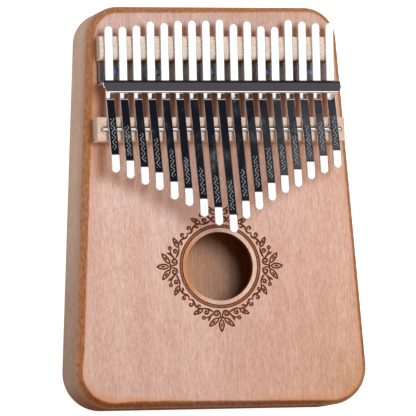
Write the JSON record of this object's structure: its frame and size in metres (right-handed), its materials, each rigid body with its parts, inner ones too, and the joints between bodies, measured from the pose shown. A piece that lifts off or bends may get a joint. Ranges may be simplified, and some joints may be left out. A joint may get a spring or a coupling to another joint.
{
  "type": "mbira",
  "caption": "Hollow wooden box mbira: steel tines over two bridges and a rod, held by a chromed bracket, above a round sound hole. Tines flex and slide to tune.",
  "frame": {"origin": "centre of the box's plan on the lower face of its back", "axes": "the box lies on its back: +Z out of the soundboard towards the tines, +Y towards the narrow rear end where the tines are tuned, +X to the right of a player looking at the face from the front"},
  "size_m": [0.139, 0.185, 0.0504],
  "materials": {
    "mahogany_face": "open-grained mahogany, matte, stained darker and more orange round the edge",
    "mahogany_wall": "mahogany side grain, matte, grey-brown",
    "maple": "pale close-grained maple, sanded smooth",
    "chrome": "mirror-bright plated spring steel",
    "steel": "bright drawn steel"
  },
  "bodies": {
    "box": {"soundboard": "mahogany_face", "body_rim": "mahogany_wall", "back_board": "mahogany_wall", "bridge_block": "maple", "rear_bridge": "maple", "front_bridge": "maple", "saddle_rod": "steel", "pressure_bracket": "chrome", "screw_1": "steel", "screw_2": "steel", "screw_3": "steel", "screw_4": "steel", "screw_5": "steel"},
    "tine_01": {"tine_01_anchor": "chrome"},
    "tine_01_spring": {"tine_01_blade": "chrome"},
    "tine_02": {"tine_02_anchor": "chrome"},
    "tine_02_spring": {"tine_02_blade": "chrome"},
    "tine_03": {"tine_03_anchor": "chrome"},
    "tine_03_spring": {"tine_03_blade": "chrome"},
    "tine_04": {"tine_04_anchor": "chrome"},
    "tine_04_spring": {"tine_04_blade": "chrome"},
    "tine_05": {"tine_05_anchor": "chrome"},
    "tine_05_spring": {"tine_05_blade": "chrome"},
    "tine_06": {"tine_06_anchor": "chrome"},
    "tine_06_spring": {"tine_06_blade": "chrome"},
    "tine_07": {"tine_07_anchor": "chrome"},
    "tine_07_spring": {"tine_07_blade": "chrome"},
    "tine_08": {"tine_08_anchor": "chrome"},
    "tine_08_spring": {"tine_08_blade": "chrome"},
    "tine_09": {"tine_09_anchor": "chrome"},
    "tine_09_spring": {"tine_09_blade": "chrome"},
    "tine_10": {"tine_10_anchor": "chrome"},
    "tine_10_spring": {"tine_10_blade": "chrome"},
    "tine_11": {"tine_11_anchor": "chrome"},
    "tine_11_spring": {"tine_11_blade": "chrome"},
    "tine_12": {"tine_12_anchor": "chrome"},
    "tine_12_spring": {"tine_12_blade": "chrome"},
    "tine_13": {"tine_13_anchor": "chrome"},
    "tine_13_spring": {"tine_13_blade": "chrome"},
    "tine_14": {"tine_14_anchor": "chrome"},
    "tine_14_spring": {"tine_14_blade": "chrome"},
    "tine_15": {"tine_15_anchor": "chrome"},
    "tine_15_spring": {"tine_15_blade": "chrome"},
    "tine_16": {"tine_16_anchor": "chrome"},
    "tine_16_spring": {"tine_16_blade": "chrome"},
    "tine_17": {"tine_17_anchor": "chrome"},
    "tine_17_spring": {"tine_17_blade": "chrome"}
  },
  "joints": [
    {"name": "tine_01_flex", "type": "hinge", "parent": "tine_01", "child": "tine_01_spring", "pos_m": [-0.0522, 0.03512, 0.03934], "axis": [1, 0, 0], "range_deg": [-2.5, 4], "stiffness_Nm_per_rad": 9},
    {"name": "tine_02_flex", "type": "hinge", "parent": "tine_02", "child": "tine_02_spring", "pos_m": [-0.04559, 0.03512, 0.03934], "axis": [1, 0, 0], "range_deg": [-2.5, 4], "stiffness_Nm_per_rad": 8},
    {"name": "tine_03_flex", "type": "hinge", "parent": "tine_03", "child": "tine_03_spring", "pos_m": [-0.03897, 0.03512, 0.03934], "axis": [1, 0, 0], "range_deg": [-2.5, 4], "stiffness_Nm_per_rad": 7.1},
    {"name": "tine_04_flex", "type": "hinge", "parent": "tine_04", "child": "tine_04_spring", "pos_m": [-0.03236, 0.03512, 0.03934], "axis": [1, 0, 0], "range_deg": [-2.5, 4], "stiffness_Nm_per_rad": 6.4},
    {"name": "tine_05_flex", "type": "hinge", "parent": "tine_05", "child": "tine_05_spring", "pos_m": [-0.02574, 0.03512, 0.03934], "axis": [1, 0, 0], "range_deg": [-2.5, 4], "stiffness_Nm_per_rad": 5.6},
    {"name": "tine_06_flex", "type": "hinge", "parent": "tine_06", "child": "tine_06_spring", "pos_m": [-0.01912, 0.03512, 0.03934], "axis": [1, 0, 0], "range_deg": [-2.5, 4], "stiffness_Nm_per_rad": 5.1},
    {"name": "tine_07_flex", "type": "hinge", "parent": "tine_07", "child": "tine_07_spring", "pos_m": [-0.01251, 0.03512, 0.03934], "axis": [1, 0, 0], "range_deg": [-2.5, 4], "stiffness_Nm_per_rad": 4.5},
    {"name": "tine_08_flex", "type": "hinge", "parent": "tine_08", "child": "tine_08_spring", "pos_m": [-0.0059, 0.03512, 0.03934], "axis": [1, 0, 0], "range_deg": [-2.5, 4], "stiffness_Nm_per_rad": 4.1},
    {"name": "tine_09_flex", "type": "hinge", "parent": "tine_09", "child": "tine_09_spring", "pos_m": [0.00072, 0.03512, 0.03934], "axis": [1, 0, 0], "range_deg": [-2.5, 4], "stiffness_Nm_per_rad": 3.8},
    {"name": "tine_10_flex", "type": "hinge", "parent": "tine_10", "child": "tine_10_spring", "pos_m": [0.00734, 0.03512, 0.03934], "axis": [1, 0, 0], "range_deg": [-2.5, 4], "stiffness_Nm_per_rad": 4.4},
    {"name": "tine_11_flex", "type": "hinge", "parent": "tine_11", "child": "tine_11_spring", "pos_m": [0.01395, 0.03512, 0.03934], "axis": [1, 0, 0], "range_deg": [-2.5, 4], "stiffness_Nm_per_rad": 4.9},
    {"name": "tine_12_flex", "type": "hinge", "parent": "tine_12", "child": "tine_12_spring", "pos_m": [0.02056, 0.03512, 0.03934], "axis": [1, 0, 0], "range_deg": [-2.5, 4], "stiffness_Nm_per_rad": 5.5},
    {"name": "tine_13_flex", "type": "hinge", "parent": "tine_13", "child": "tine_13_spring", "pos_m": [0.02718, 0.03512, 0.03934], "axis": [1, 0, 0], "range_deg": [-2.5, 4], "stiffness_Nm_per_rad": 6.1},
    {"name": "tine_14_flex", "type": "hinge", "parent": "tine_14", "child": "tine_14_spring", "pos_m": [0.03379, 0.03512, 0.03934], "axis": [1, 0, 0], "range_deg": [-2.5, 4], "stiffness_Nm_per_rad": 6.7},
    {"name": "tine_15_flex", "type": "hinge", "parent": "tine_15", "child": "tine_15_spring", "pos_m": [0.04041, 0.03512, 0.03934], "axis": [1, 0, 0], "range_deg": [-2.5, 4], "stiffness_Nm_per_rad": 7.7},
    {"name": "tine_16_flex", "type": "hinge", "parent": "tine_16", "child": "tine_16_spring", "pos_m": [0.04702, 0.03512, 0.03934], "axis": [1, 0, 0], "range_deg": [-2.5, 4], "stiffness_Nm_per_rad": 8.7},
    {"name": "tine_17_flex", "type": "hinge", "parent": "tine_17", "child": "tine_17_spring", "pos_m": [0.05364, 0.03512, 0.03934], "axis": [1, 0, 0], "range_deg": [-2.5, 4], "stiffness_Nm_per_rad": 9.9},
    {"name": "tine_01_tune", "type": "slide", "parent": "box", "child": "tine_01", "axis": [0, 1, 0], "range_m": [-0.001, 0.0015]},
    {"name": "tine_02_tune", "type": "slide", "parent": "box", "child": "tine_02", "axis": [0, 1, 0], "range_m": [-0.001, 0.0015]},
    {"name": "tine_03_tune", "type": "slide", "parent": "box", "child": "tine_03", "axis": [0, 1, 0], "range_m": [-0.001, 0.0015]},
    {"name": "tine_04_tune", "type": "slide", "parent": "box", "child": "tine_04", "axis": [0, 1, 0], "range_m": [-0.001, 0.0015]},
    {"name": "tine_05_tune", "type": "slide", "parent": "box", "child": "tine_05", "axis": [0, 1, 0], "range_m": [-0.001, 0.0015]},
    {"name": "tine_06_tune", "type": "slide", "parent": "box", "child": "tine_06", "axis": [0, 1, 0], "range_m": [-0.001, 0.0015]},
    {"name": "tine_07_tune", "type": "slide", "parent": "box", "child": "tine_07", "axis": [0, 1, 0], "range_m": [-0.001, 0.0015]},
    {"name": "tine_08_tune", "type": "slide", "parent": "box", "child": "tine_08", "axis": [0, 1, 0], "range_m": [-0.001, 0.0015]},
    {"name": "tine_09_tune", "type": "slide", "parent": "box", "child": "tine_09", "axis": [0, 1, 0], "range_m": [-0.001, 0.0015]},
    {"name": "tine_10_tune", "type": "slide", "parent": "box", "child": "tine_10", "axis": [0, 1, 0], "range_m": [-0.001, 0.0015]},
    {"name": "tine_11_tune", "type": "slide", "parent": "box", "child": "tine_11", "axis": [0, 1, 0], "range_m": [-0.001, 0.0015]},
    {"name": "tine_12_tune", "type": "slide", "parent": "box", "child": "tine_12", "axis": [0, 1, 0], "range_m": [-0.001, 0.0015]},
    {"name": "tine_13_tune", "type": "slide", "parent": "box", "child": "tine_13", "axis": [0, 1, 0], "range_m": [-0.001, 0.0015]},
    {"name": "tine_14_tune", "type": "slide", "parent": "box", "child": "tine_14", "axis": [0, 1, 0], "range_m": [-0.001, 0.0015]},
    {"name": "tine_15_tune", "type": "slide", "parent": "box", "child": "tine_15", "axis": [0, 1, 0], "range_m": [-0.001, 0.0015]},
    {"name": "tine_16_tune", "type": "slide", "parent": "box", "child": "tine_16", "axis": [0, 1, 0], "range_m": [-0.001, 0.0015]},
    {"name": "tine_17_tune", "type": "slide", "parent": "box", "child": "tine_17", "axis": [0, 1, 0], "range_m": [-0.001, 0.0015]}
  ]
}
